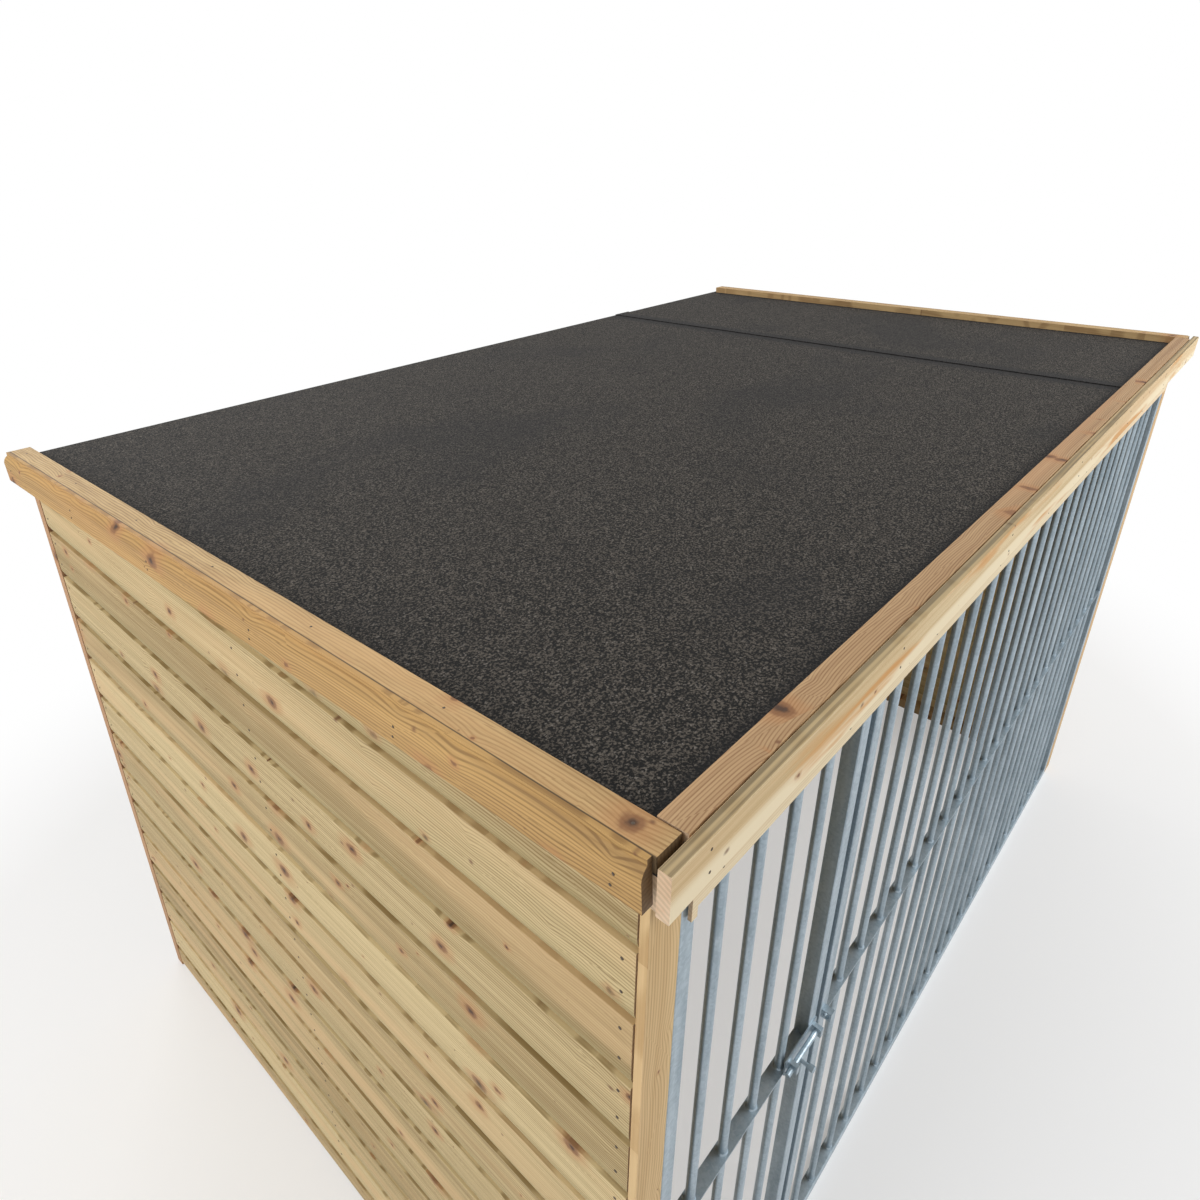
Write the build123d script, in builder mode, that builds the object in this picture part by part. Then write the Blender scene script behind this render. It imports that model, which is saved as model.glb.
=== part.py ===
import os
from math import atan, cos, sin

from build123d import *

os.makedirs("parts", exist_ok=True)

# A timber-walled pet run with a felt roof that falls to the rear and a front of
# galvanised round bars. The origin is on the ground under the middle of the
# roof. X runs along the front to the right, Y from the front to the rear.

# Overall sizes
run_width = 3000.0  # over the wall boards
run_depth = 1982.0  # from the steel front to the outer face of the rear boards
front_y = -978.0  # plane of the steel front
half_width = run_width / 2
rear_y = front_y + run_depth

# Roof: slope, deck, felt, battens and fascias
roof_fall = 0.058  # drop per unit of depth
roof_angle = atan(roof_fall)
roof_clearance = 0.3  # gap left between the walls and the deck
deck_underside_front = 1933.0  # height of the deck's underside at the steel front
deck_thickness = 18.0
deck_front_reach = 28.7  # deck, beam and front batten stand this far proud of the steel
deck_rear_reach = 1999.0  # from the steel front to the roof's rear edge
felt_thickness = 3.0
felt_overhang = 3.0  # past the deck's rear edge
felt_lap = 80.0
felt_joint = 0.2
felt_lap_left = 740.0  # left edge of the lap
batten_width = 43.0
batten_gap = 3.0  # between the front batten's ends and the side battens
batten_thickness = 23.0
side_batten_outside = half_width + 20.0
side_batten_front_reach = 21.5
side_batten_rear_reach = 1985.0
fascia_height = 69.0
fascia_thickness = 18.0
front_fascia_half_length = 1530.0
side_fascia_front_reach = 16.0
fascia_lip = 8.0
fascia_lip_height = 8.0
fascia_cove_height = 22.0
cove_middle_out = 0.3  # share of the cove's depth at the middle of its arc
cove_middle_up = 0.68  # share of its height there
fascia_edge = 1.0

# Wall boards
board_cover = 130.0
board_thickness = 20.0
board_scoop_depth = 9.0
scoop_middle = 0.38  # share of the scoop's depth and height at the middle of its arc
board_scoop_height = 28.0
board_tongue_height = 10.0
board_tongue_thickness = 5.0
board_fit = 0.5
board_lines_base = 89.0  # height of the lowest line between two boards
board_count = 15
side_boards_front = 16.0  # from the steel front
side_boards_rear = 1944.0

# Timber frame
stud = 45.0
side_frame_rear = 1950.0  # from the steel front
middle_stud_place = 952.0
beam_height = 63.0
purlin_height = 70.0
purlin_places = (660.0, 1320.0)  # from the steel front to each purlin's front face
corner_board_width = 62.0
corner_board_thickness = 14.0
rear_post_size = 32.0

# Steel front
tube = 30.0
tube_wall = 1.5
tube_corner = 1.6
bar_diameter = 18.0
steel_top = deck_underside_front - beam_height
steel_bottom = 0.0
strip_height = 966.0
strip_thickness = 4.0
strip_hole = bar_diameter + 0.4
panel_left = -895.0  # left face of the fixed panel
panel_right = 1435.0
panel_bar_pitch = 100.0
panel_bar_count = 22
door_left = -1434.0
door_right = -914.0
door_bar_count = 4
door_bar_pitch = 98.0
door_setback = 2.0
door_top = 1860.0
door_bottom = 18.0

# Thin lath that covers the steel's top rails
lath_thickness = 6.0
lath_bottom = 1797.0
lath_top = steel_top
lath_left = -1424.0
lath_right = 1432.0
lath_block_width = 12.0
lath_block_height = 18.0

# Door hinges: an eye on the door drops over a pin on the left wall's front stud
hinge_x = -1425.0
hinge_y = front_y + 41.0
hinge_heights = (260.0, 1560.0)  # underside of each eye
hinge_eye_radius = 6.4
hinge_pin_radius = 4.0
hinge_bore_radius = 4.06
hinge_eye_height = 40.0
hinge_arm_thickness = 6.0
hinge_plate = 3.0
hinge_plate_height = 90.0
hinge_plate_depth = 22.0

# Slide bolt on the door
bolt_height = 985.0
bolt_radius = 6.0
bolt_bore_radius = 6.08
bolt_tip_chamfer = 1.5
knob_chamfer = 2.0
keeper_play = 1.0
bolt_y = front_y - 10.0
bolt_tip_x = -916.0
bolt_length = 128.0
guide_size = 22.0
guide_length = 10.0
guide_places = (-1026.0, -930.0)  # left face of each guide
bolt_plate_left = -1036.0
bolt_plate_height = 40.0
bolt_plate_thickness = 3.0
knob_x = -1000.0
knob_radius = 7.0
knob_stem_radius = 4.0
knob_stem_length = 24.0
knob_length = 12.0
keeper_left = -888.0
keeper_length = 16.0


def deck_underside(y):
    """Height of the roof deck's underside at a place along the depth."""
    return deck_underside_front - roof_fall * (y - front_y)


def save(piece, name):
    piece.part.label = name
    export_step(piece.part, f"parts/{name}.step")


def add_box(low, high):
    """Adds a square-edged length of material between two corners to the open part."""
    size = [high[i] - low[i] for i in range(3)]
    middle = [(high[i] + low[i]) / 2 for i in range(3)]
    with Locations(tuple(middle)):
        Box(*size)


# Plane that lies along the roof's slope: its x is the run's X, its y runs down
# the slope and its z points out of the roof. It starts at the deck's underside.
roof_plane = Plane(
    origin=(0, front_y, deck_underside_front),
    x_dir=(1, 0, 0),
    z_dir=(0, sin(roof_angle), cos(roof_angle)),
)
# The same slope seen from the left, for profiles that follow it.
side_view = Plane(origin=(0, 0, 0), x_dir=(0, 1, 0), z_dir=(1, 0, 0))


def along_slope(y_distance):
    """Turns a level distance from the steel front into one along the slope."""
    return y_distance / cos(roof_angle)


def add_roof_box(x_low, x_high, y_low, y_high, low, high):
    """Adds a board on the slope; low and high are above the deck's underside."""
    with BuildSketch(roof_plane.offset(low)) as profile:
        with Locations(((x_low + x_high) / 2, (along_slope(y_low) + along_slope(y_high)) / 2)):
            Rectangle(x_high - x_low, along_slope(y_high) - along_slope(y_low))
    extrude(profile.sketch, amount=high - low)


def board_profile(plane, base, height, tongue):
    """Profile of one wall board: flat face, scooped foot and a tongue at the top."""
    scoop_start = min(board_scoop_height, height)
    inner_foot = board_tongue_thickness + board_fit if base > 0 else 0
    points = [
        (board_thickness, base + scoop_start),
        (board_thickness, base + height),
    ]
    if tongue:
        points += [
            (board_tongue_thickness, base + height),
            (board_tongue_thickness, base + height + board_tongue_height),
            (0, base + height + board_tongue_height),
        ]
    else:
        points += [(0, base + height)]
    if base > 0:
        rebate = base + board_tongue_height + board_fit
        points += [(0, rebate), (inner_foot, rebate)]
    foot_height = base + board_fit if base > 0 else 0
    points += [(inner_foot, foot_height)]
    foot = (board_thickness - board_scoop_depth, foot_height)
    points += [foot]
    with BuildSketch(plane) as profile:
        with BuildLine():
            Polyline(*points)
            ThreePointArc(
                foot,
                (board_thickness - board_scoop_depth * scoop_middle, base + scoop_start * scoop_middle),
                (board_thickness, base + scoop_start),
            )
        make_face()
    return profile.sketch


def wall_boards(profile_plane, length, top_at_profile):
    """Stacks boards up a wall; profile_plane's x points outwards and its y up."""
    for number in range(board_count):
        base = 0.0 if number == 0 else board_lines_base + board_cover * (number - 1)
        height = board_lines_base if number == 0 else board_cover
        height = min(height, top_at_profile - base)
        profile = board_profile(profile_plane, base, height, tongue=number < board_count - 1)
        extrude(profile, amount=length)


def cut_to_roof(clearance=roof_clearance):
    """Cuts the open part off just under the sloping roof deck."""
    reach = run_depth
    low_y = front_y - reach
    high_y = rear_y + reach
    with BuildSketch(side_view.offset(-run_width)) as profile:
        with BuildLine():
            Polyline(
                (low_y, deck_underside(low_y) - clearance),
                (high_y, deck_underside(high_y) - clearance),
                (high_y, deck_underside(low_y) + reach),
                (low_y, deck_underside(low_y) + reach),
                (low_y, deck_underside(low_y) - clearance),
            )
        make_face()
    extrude(profile.sketch, amount=2 * run_width, mode=Mode.SUBTRACT)


# Left and right walls: horizontal boards, cut to the slope at the top
side_length = side_boards_rear - side_boards_front
with BuildPart() as left_wall_boards:
    left_profile = Plane(
        origin=(-half_width + board_thickness, front_y + side_boards_front, 0),
        x_dir=(-1, 0, 0),
        z_dir=(0, 1, 0),
    )
    wall_boards(left_profile, side_length, deck_underside_front)
    cut_to_roof()
save(left_wall_boards, "left_wall_boards")

with BuildPart() as right_wall_boards:
    right_profile = Plane(
        origin=(half_width - board_thickness, front_y + side_boards_rear, 0),
        x_dir=(1, 0, 0),
        z_dir=(0, -1, 0),
    )
    wall_boards(right_profile, side_length, deck_underside_front)
    cut_to_roof()
save(right_wall_boards, "right_wall_boards")

# Rear wall: the same boards between the rear corner posts
rear_boards_half = half_width - rear_post_size - board_fit
with BuildPart() as rear_wall_boards:
    rear_profile = Plane(
        origin=(-rear_boards_half, rear_y - board_thickness, 0),
        x_dir=(0, 1, 0),
        z_dir=(1, 0, 0),
    )
    wall_boards(rear_profile, 2 * rear_boards_half, deck_underside(rear_y))
    cut_to_roof()
save(rear_wall_boards, "rear_wall_boards")

# Rear corner posts: square, flush with both walls
for side, name in ((-1, "left_rear_post"), (1, "right_rear_post")):
    with BuildPart() as rear_post:
        outer = side * half_width
        inner = side * (half_width - rear_post_size)
        low = (min(outer, inner), rear_y - rear_post_size, 0)
        high = (max(outer, inner), rear_y, deck_underside_front)
        add_box(low, high)
        cut_to_roof()
    save(rear_post, name)

# Side frames: three studs, a ground rail and a sloping top rail behind the boards
frame_outer = half_width - board_thickness
frame_inner = frame_outer - stud
side_stud_places = (corner_board_thickness, middle_stud_place, side_frame_rear - stud)
top_rail_depth = stud / cos(roof_angle)
for side, name in ((-1, "left"), (1, "right")):
    x_low = min(side * frame_outer, side * frame_inner)
    x_high = max(side * frame_outer, side * frame_inner)
    with BuildPart() as side_studs:
        for place in side_stud_places:
            at_front = place == corner_board_thickness
            stud_base = 0.0 if at_front else stud
            top_cut = 0.0 if at_front else top_rail_depth
            y_low = front_y + place
            y_high = y_low + stud
            with BuildSketch(Plane.YZ.offset(x_low)):
                with BuildLine():
                    Polyline(
                        (y_low, stud_base),
                        (y_high, stud_base),
                        (y_high, deck_underside(y_high) - top_cut),
                        (y_low, deck_underside(y_low) - top_cut),
                        (y_low, stud_base),
                    )
                make_face()
            extrude(amount=x_high - x_low)
    save(side_studs, f"{name}_wall_studs")
    with BuildPart() as side_rails:
        rail_front = front_y + corner_board_thickness + stud
        rail_rear = front_y + side_frame_rear
        add_box((x_low, rail_front, 0), (x_high, rail_rear, stud))
        with BuildSketch(Plane.YZ.offset(x_low)):
            with BuildLine():
                Polyline(
                    (rail_front, deck_underside(rail_front) - top_rail_depth),
                    (rail_rear, deck_underside(rail_rear) - top_rail_depth),
                    (rail_rear, deck_underside(rail_rear)),
                    (rail_front, deck_underside(rail_front)),
                    (rail_front, deck_underside(rail_front) - top_rail_depth),
                )
            make_face()
        extrude(amount=x_high - x_low)
    save(side_rails, f"{name}_wall_rails")

# Rear frame: five studs between a ground rail and a top rail
rear_frame_y_high = rear_y - board_thickness
rear_frame_y_low = rear_frame_y_high - stud
rear_frame_half = frame_inner
rear_frame_top = deck_underside(rear_frame_y_high)
rear_stud_count = 5
with BuildPart() as rear_wall_rails:
    for base in (0.0, rear_frame_top - stud):
        low = (-rear_frame_half, rear_frame_y_low, base)
        add_box(low, (rear_frame_half, rear_frame_y_high, base + stud))
save(rear_wall_rails, "rear_wall_rails")

with BuildPart() as rear_wall_studs:
    rear_stud_step = (2 * rear_frame_half - stud) / (rear_stud_count - 1)
    for number in range(rear_stud_count):
        x_low = -rear_frame_half + number * rear_stud_step
        low = (x_low, rear_frame_y_low, stud)
        add_box(low, (x_low + stud, rear_frame_y_high, rear_frame_top - stud))
save(rear_wall_studs, "rear_wall_studs")

# Front corner boards: flat boards over the ends of the side walls
for side, name in ((-1, "left_corner_board"), (1, "right_corner_board")):
    with BuildPart() as corner_board:
        outer = side * half_width
        inner = side * (half_width - corner_board_width)
        low = (min(outer, inner), front_y, 0)
        high = (max(outer, inner), front_y + corner_board_thickness, steel_top)
        add_box(low, high)
    save(corner_board, name)

# Roof beams: the front beam sits behind the fascia, the purlins span the side frames
purlin_half = frame_inner
with BuildPart() as front_beam:
    beam_base = deck_underside_front - beam_height
    beam_low = (-half_width, front_y - deck_front_reach, beam_base)
    beam_high = (half_width, front_y + corner_board_thickness, deck_underside_front + beam_height)
    add_box(beam_low, beam_high)
    cut_to_roof(clearance=0)
save(front_beam, "front_beam")

with BuildPart() as roof_purlins:
    for place in purlin_places:
        y_low = front_y + place
        y_high = y_low + stud
        base = deck_underside(y_low) - purlin_height
        add_box((-purlin_half, y_low, base), (purlin_half, y_high, base + 2 * purlin_height))
    cut_to_roof(clearance=0)
save(roof_purlins, "roof_purlins")

# Roof deck: boards side by side from the front edge to the rear edge
deck_length = deck_front_reach + deck_rear_reach
deck_board_total = 15
with BuildPart() as roof_boards:
    deck_step = deck_length / deck_board_total
    for number in range(deck_board_total):
        y_low = -deck_front_reach + number * deck_step
        y_high = y_low + deck_step - board_fit
        if number == deck_board_total - 1:
            y_high = deck_rear_reach
        add_roof_box(-side_batten_outside, side_batten_outside, y_low, y_high, 0, deck_thickness)
save(roof_boards, "roof_boards")

# Felt: two sheets that run from front to rear; the right one laps over the left one
felt_base = deck_thickness
felt_top = felt_base + felt_thickness
felt_plane = Plane(
    origin=roof_plane.from_local_coords(Vector(0, along_slope(-deck_front_reach), 0)),
    x_dir=(1, 0, 0),
    z_dir=-roof_plane.y_dir,
)
felt_length = along_slope(deck_length + felt_overhang)
with BuildPart() as roofing_felt:
    lap_base = felt_top + felt_joint
    lap_top = lap_base + felt_thickness
    lap_right = felt_lap_left + felt_lap
    for outline in (
        (
            (-side_batten_outside, felt_base),
            (lap_right, felt_base),
            (lap_right, felt_top),
            (-side_batten_outside, felt_top),
            (-side_batten_outside, felt_base),
        ),
        (
            (side_batten_outside, felt_base),
            (lap_right + felt_joint, felt_base),
            (lap_right + felt_joint, lap_base),
            (felt_lap_left, lap_base),
            (felt_lap_left, lap_top),
            (lap_right + felt_thickness, lap_top),
            (lap_right + 2 * felt_thickness, felt_top),
            (side_batten_outside, felt_top),
            (side_batten_outside, felt_base),
        ),
    ):
        with BuildSketch(felt_plane):
            with BuildLine():
                Polyline(*outline)
            make_face()
        extrude(amount=-felt_length)
save(roofing_felt, "roofing_felt")

# Battens that hold the felt's edges down; the front one butts between the side ones
batten_base = felt_top
batten_top = batten_base + batten_thickness
front_batten_half = side_batten_outside - batten_width - batten_gap
lap_height = felt_top + felt_thickness + felt_joint
with BuildPart() as front_batten:
    add_roof_box(
        -front_batten_half,
        front_batten_half,
        -deck_front_reach,
        -deck_front_reach + batten_width,
        batten_base,
        batten_top,
    )
    with BuildSketch(roof_plane.offset(batten_base)):
        with Locations((felt_lap_left + felt_lap / 2, along_slope(batten_width / 2 - deck_front_reach))):
            Rectangle(felt_lap + 4 * felt_thickness, 2 * batten_width)
    extrude(amount=lap_height - batten_base, mode=Mode.SUBTRACT)
save(front_batten, "front_batten")

for side, name in ((-1, "left_batten"), (1, "right_batten")):
    with BuildPart() as side_batten:
        outer = side * side_batten_outside
        inner = side * (side_batten_outside - batten_width)
        add_roof_box(
            min(outer, inner),
            max(outer, inner),
            -side_batten_front_reach,
            side_batten_rear_reach,
            batten_base,
            batten_top,
        )
    save(side_batten, name)

# Fascias: a plain one along the front, coved ones down both sides
front_fascia_back = front_y - deck_front_reach
front_fascia_top = deck_underside(front_y - deck_front_reach) + batten_top / cos(roof_angle)
with BuildPart() as front_fascia:
    low = (-front_fascia_half_length, front_fascia_back - fascia_thickness, front_fascia_top - fascia_height)
    high = (front_fascia_half_length, front_fascia_back, front_fascia_top)
    add_box(low, high)
    chamfer(front_fascia.edges().filter_by(Axis.X), length=fascia_edge)
save(front_fascia, "front_fascia")

fascia_foot = batten_top - fascia_height
fascia_run = along_slope(side_batten_rear_reach + side_fascia_front_reach)
for side, name in ((-1, "left_fascia"), (1, "right_fascia")):
    back = side * side_batten_outside
    lip = back + side * fascia_lip
    face = back + side * fascia_thickness
    cove_foot = batten_top - fascia_lip_height - fascia_cove_height
    with BuildPart() as side_fascia:
        slope_start = roof_plane.from_local_coords(Vector(0, along_slope(-side_fascia_front_reach), 0))
        with BuildSketch(Plane(origin=slope_start, x_dir=(1, 0, 0), z_dir=-roof_plane.y_dir)):
            with BuildLine():
                Polyline(
                    (lip, batten_top - fascia_lip_height),
                    (lip, batten_top),
                    (back, batten_top),
                    (back, fascia_foot),
                    (face, fascia_foot),
                    (face, cove_foot),
                )
                ThreePointArc(
                    (face, cove_foot),
                    (
                        face - side * (fascia_thickness - fascia_lip) * cove_middle_out,
                        cove_foot + fascia_cove_height * cove_middle_up,
                    ),
                    (lip, batten_top - fascia_lip_height),
                )
            make_face()
        extrude(amount=-fascia_run)
    save(side_fascia, name)

# Lath over the steel's top rails, with a short block under its left end
with BuildPart() as front_lath:
    lath_front = front_y - lath_thickness
    add_box((lath_left, lath_front, lath_bottom), (lath_right, front_y, lath_top))
save(front_lath, "front_lath")

with BuildPart() as lath_end_block:
    block_low = (lath_left, lath_front, lath_bottom - lath_block_height)
    add_box(block_low, (lath_left + lath_block_width, front_y, lath_bottom))
save(lath_end_block, "lath_end_block")


def add_upright_tube(x_middle, y_front, z_low, z_high):
    """Adds a square tube that stands up, open at both ends."""
    with BuildSketch(Plane.XY.offset(z_low)) as profile:
        with Locations((x_middle, y_front + tube / 2)):
            Rectangle(tube, tube)
            chamfer(profile.vertices(), length=tube_corner)
            Rectangle(tube - 2 * tube_wall, tube - 2 * tube_wall, mode=Mode.SUBTRACT)
    extrude(profile.sketch, amount=z_high - z_low)


def add_level_tube(x_low, x_high, y_front, z_low):
    """Adds a square tube that lies along the front, open at both ends."""
    with BuildSketch(Plane.YZ.offset(x_low)) as profile:
        with Locations((y_front + tube / 2, z_low + tube / 2)):
            Rectangle(tube, tube)
            chamfer(profile.vertices(), length=tube_corner)
            Rectangle(tube - 2 * tube_wall, tube - 2 * tube_wall, mode=Mode.SUBTRACT)
    extrude(profile.sketch, amount=x_high - x_low)


def add_bar(x, y, z_low, z_high):
    """Adds one round bar."""
    with BuildSketch(Plane.XY.offset(z_low)) as profile:
        with Locations((x, y)):
            Circle(bar_diameter / 2)
    extrude(profile.sketch, amount=z_high - z_low)


def add_pierced_strip(x_low, x_high, y_front, bar_places):
    """Adds the flat strip halfway up, with a hole for each bar."""
    with BuildSketch(Plane.XY.offset(strip_height - strip_thickness / 2)) as profile:
        with Locations(((x_low + x_high) / 2, y_front + tube / 2)):
            Rectangle(x_high - x_low, tube)
        with Locations(*[(x, y_front + tube / 2) for x in bar_places]):
            Circle(strip_hole / 2, mode=Mode.SUBTRACT)
    extrude(profile.sketch, amount=strip_thickness)


def bar_row(left, right, count, pitch):
    """Places of the bars, centred between the faces of two stiles."""
    middle = (left + right) / 2
    return [middle + (number - (count - 1) / 2) * pitch for number in range(count)]


def barred_frame(prefix, left, right, bottom, top, y_front, bars):
    """Makes the four nodes of one framed set of bars."""
    with BuildPart() as stiles:
        add_upright_tube(left + tube / 2, y_front, bottom, top)
        add_upright_tube(right - tube / 2, y_front, bottom, top)
    save(stiles, f"{prefix}_stiles")
    with BuildPart() as rails:
        add_level_tube(left + tube, right - tube, y_front, bottom)
        add_level_tube(left + tube, right - tube, y_front, top - tube)
    save(rails, f"{prefix}_rails")
    with BuildPart() as strip:
        add_pierced_strip(left + tube, right - tube, y_front, bars)
    save(strip, f"{prefix}_mid_strip")
    with BuildPart() as round_bars:
        for x in bars:
            add_bar(x, y_front + tube / 2, bottom + tube, top - tube)
    save(round_bars, f"{prefix}_bars")


panel_bars = bar_row(panel_left, panel_right, panel_bar_count, panel_bar_pitch)
barred_frame("panel", panel_left, panel_right, steel_bottom, steel_top, front_y, panel_bars)
door_front = front_y + door_setback
door_bars = bar_row(door_left, door_right, door_bar_count, door_bar_pitch)
barred_frame("door", door_left, door_right, door_bottom, door_top, door_front, door_bars)

# Hinge eyes: tubes welded to the back of the door's left stile
hinge_foot_width = 12.0
door_back = door_front + tube
with BuildPart() as hinge_eyes:
    for height in hinge_heights:
        with BuildSketch(Plane.XY.offset(height)):
            with Locations((hinge_x, hinge_y)):
                Circle(hinge_eye_radius)
            with Locations((hinge_x, (door_back + hinge_y) / 2)):
                Rectangle(hinge_foot_width, hinge_y - door_back)
            with Locations((hinge_x, hinge_y)):
                Circle(hinge_bore_radius, mode=Mode.SUBTRACT)
        extrude(amount=hinge_eye_height)
save(hinge_eyes, "hinge_eyes")

# Hinge brackets: a plate on the stud, an arm and a pin that the eye turns on
stud_face = -frame_inner
hinge_play = 0.3
hinge_plate_shift = 3.0
hinge_pin_stub = 2.0
with BuildPart() as hinge_brackets:
    for height in hinge_heights:
        arm_top = height - hinge_play
        plate_low = (
            stud_face,
            hinge_y - hinge_plate_depth / 2 + hinge_plate_shift,
            height + hinge_eye_height / 2 - hinge_plate_height / 2,
        )
        plate_high = (
            stud_face + hinge_plate,
            plate_low[1] + hinge_plate_depth,
            plate_low[2] + hinge_plate_height,
        )
        add_box(plate_low, plate_high)
        with BuildSketch(Plane.XY.offset(arm_top - hinge_arm_thickness)):
            with Locations((hinge_x, hinge_y)):
                Circle(hinge_eye_radius)
            with Locations(((stud_face + hinge_x) / 2, hinge_y)):
                Rectangle(hinge_x - stud_face, 2 * hinge_eye_radius)
        extrude(amount=hinge_arm_thickness)
        with BuildSketch(Plane.XY.offset(arm_top)):
            with Locations((hinge_x, hinge_y)):
                Circle(hinge_pin_radius)
        extrude(amount=hinge_eye_height + hinge_play + hinge_pin_stub)
save(hinge_brackets, "hinge_brackets")

# Slide bolt: a plate with two guides on the door, the rod, and a keeper on the panel
with BuildPart() as bolt_guides:
    plate_low = (bolt_plate_left, door_front - bolt_plate_thickness, bolt_height - bolt_plate_height / 2)
    plate_high = (door_right, door_front, bolt_height + bolt_plate_height / 2)
    add_box(plate_low, plate_high)
    for place in guide_places:
        guide_low = (place, bolt_y - guide_size / 2, bolt_height - guide_size / 2)
        guide_high = (place + guide_length, door_front - bolt_plate_thickness, bolt_height + guide_size / 2)
        add_box(guide_low, guide_high)
    with BuildSketch(Plane.YZ.offset(bolt_plate_left)):
        with Locations((bolt_y, bolt_height)):
            Circle(bolt_bore_radius)
    extrude(amount=door_right - bolt_plate_left, mode=Mode.SUBTRACT)
save(bolt_guides, "bolt_guides")

with BuildPart() as bolt_rod:
    with BuildSketch(Plane.YZ.offset(bolt_tip_x - bolt_length)):
        with Locations((bolt_y, bolt_height)):
            Circle(bolt_radius)
    extrude(amount=bolt_length)
    chamfer(bolt_rod.faces().sort_by(Axis.X)[-1].edges(), length=bolt_tip_chamfer)
    with BuildSketch(Plane.XZ.offset(-bolt_y)):
        with Locations((knob_x, bolt_height)):
            Circle(knob_stem_radius)
    extrude(amount=knob_stem_length)
    with BuildSketch(Plane.XZ.offset(knob_stem_length - bolt_y)):
        with Locations((knob_x, bolt_height)):
            Circle(knob_radius)
    extrude(amount=knob_length)
    chamfer(bolt_rod.faces().sort_by(Axis.Y)[0].edges(), length=knob_chamfer)
save(bolt_rod, "bolt_rod")

with BuildPart() as bolt_keeper:
    keeper_low = (keeper_left, bolt_y - guide_size / 2, bolt_height - guide_size / 2)
    keeper_high = (keeper_left + keeper_length, front_y, bolt_height + guide_size / 2)
    add_box(keeper_low, keeper_high)
    with BuildSketch(Plane.YZ.offset(keeper_left)):
        with Locations((bolt_y, bolt_height)):
            Circle(bolt_bore_radius + keeper_play)
    extrude(amount=keeper_length, mode=Mode.SUBTRACT)
save(bolt_keeper, "bolt_keeper")
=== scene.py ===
import math
import random

import bmesh
import bpy
from mathutils import Matrix, Quaternion, Vector

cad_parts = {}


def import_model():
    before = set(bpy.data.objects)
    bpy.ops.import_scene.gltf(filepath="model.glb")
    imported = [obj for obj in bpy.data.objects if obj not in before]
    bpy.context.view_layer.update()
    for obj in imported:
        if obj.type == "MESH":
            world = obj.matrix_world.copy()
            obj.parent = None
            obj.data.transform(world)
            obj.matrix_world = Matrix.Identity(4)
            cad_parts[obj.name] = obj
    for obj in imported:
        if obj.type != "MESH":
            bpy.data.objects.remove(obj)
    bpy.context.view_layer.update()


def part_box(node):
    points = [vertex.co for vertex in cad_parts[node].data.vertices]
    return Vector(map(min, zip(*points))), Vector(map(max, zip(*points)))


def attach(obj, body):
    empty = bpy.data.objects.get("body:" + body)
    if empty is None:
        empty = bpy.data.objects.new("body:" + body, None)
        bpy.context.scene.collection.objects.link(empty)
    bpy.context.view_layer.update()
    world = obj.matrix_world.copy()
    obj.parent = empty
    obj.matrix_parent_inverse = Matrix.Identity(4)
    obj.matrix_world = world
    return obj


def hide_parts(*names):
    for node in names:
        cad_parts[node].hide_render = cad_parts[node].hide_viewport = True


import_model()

# Sizes of the run that the finishes and small pieces follow, in metres
BOARD_COVER = 0.130
BOARD_LINE = 0.089
BOARD_SCOOP = 0.028
FRONT_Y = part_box("panel_stiles")[0][1]
ROOF_FALL = 0.058
BAR_RADIUS = 0.009
FELT_LAP = 0.740
STRIP_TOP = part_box("panel_mid_strip")[1][2]
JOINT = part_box("right_batten")[1][0]  # where the side fascias meet the battens
FELT_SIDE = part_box("right_batten")[0][0]
FELT_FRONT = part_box("front_batten")[1][1]
LEDGE_SKIN = 0.0004  # height of the joint between boards
BATTEN_KNOT_BACK = 0.052


class Wire:
    """A node's output; arithmetic on it adds Math nodes to its graph."""

    def __init__(self, graph, socket):
        self.graph = graph
        self.socket = socket

    def __add__(self, other):
        return self.graph.math("ADD", self, other)

    def __radd__(self, other):
        return self.graph.math("ADD", other, self)

    def __sub__(self, other):
        return self.graph.math("SUBTRACT", self, other)

    def __rsub__(self, other):
        return self.graph.math("SUBTRACT", other, self)

    def __mul__(self, other):
        return self.graph.math("MULTIPLY", self, other)

    def __rmul__(self, other):
        return self.graph.math("MULTIPLY", other, self)

    def __truediv__(self, other):
        return self.graph.math("DIVIDE", self, other)


class Graph:
    """Adds nodes to a shader or geometry tree."""

    def __init__(self, tree):
        self.tree = tree

    def node(self, kind, settings=None, sockets=None):
        made = self.tree.nodes.new(kind)
        for name, value in (settings or {}).items():
            setattr(made, name, value)
        for name, value in (sockets or {}).items():
            if isinstance(value, Wire):
                self.tree.links.new(value.socket, made.inputs[name])
            else:
                made.inputs[name].default_value = value
        return made

    def out(self, kind, settings=None, sockets=None, output=0):
        return Wire(self, self.node(kind, settings, sockets).outputs[output])

    def math(self, operation, *values):
        sockets = {number: value for number, value in enumerate(values)}
        return self.out("ShaderNodeMath", {"operation": operation}, sockets)

    def smooth(self, value, low, high):
        """0 below low, 1 above high, soft between."""
        sockets = {"Value": value, "From Min": low, "From Max": high}
        return self.out("ShaderNodeMapRange", {"interpolation_type": "SMOOTHSTEP"}, sockets)

    def mix(self, factor, first, second):
        """Mixes two colours."""
        sockets = {0: factor, 6: first, 7: second}
        return self.out("ShaderNodeMix", {"data_type": "RGBA"}, sockets, output=2)

    def length(self, vector):
        return self.out("ShaderNodeVectorMath", {"operation": "LENGTH"}, {0: vector}, output="Value")

    def vector(self, x, y, z):
        return self.out("ShaderNodeCombineXYZ", None, {0: x, 1: y, 2: z})

    def noise(self, vector, scale, detail=3.0, roughness=0.5):
        sockets = {"Vector": vector, "Scale": scale, "Detail": detail, "Roughness": roughness}
        return self.out("ShaderNodeTexNoise", None, sockets)


def rgb(red, green, blue):
    return (red, green, blue, 1.0)


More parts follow.
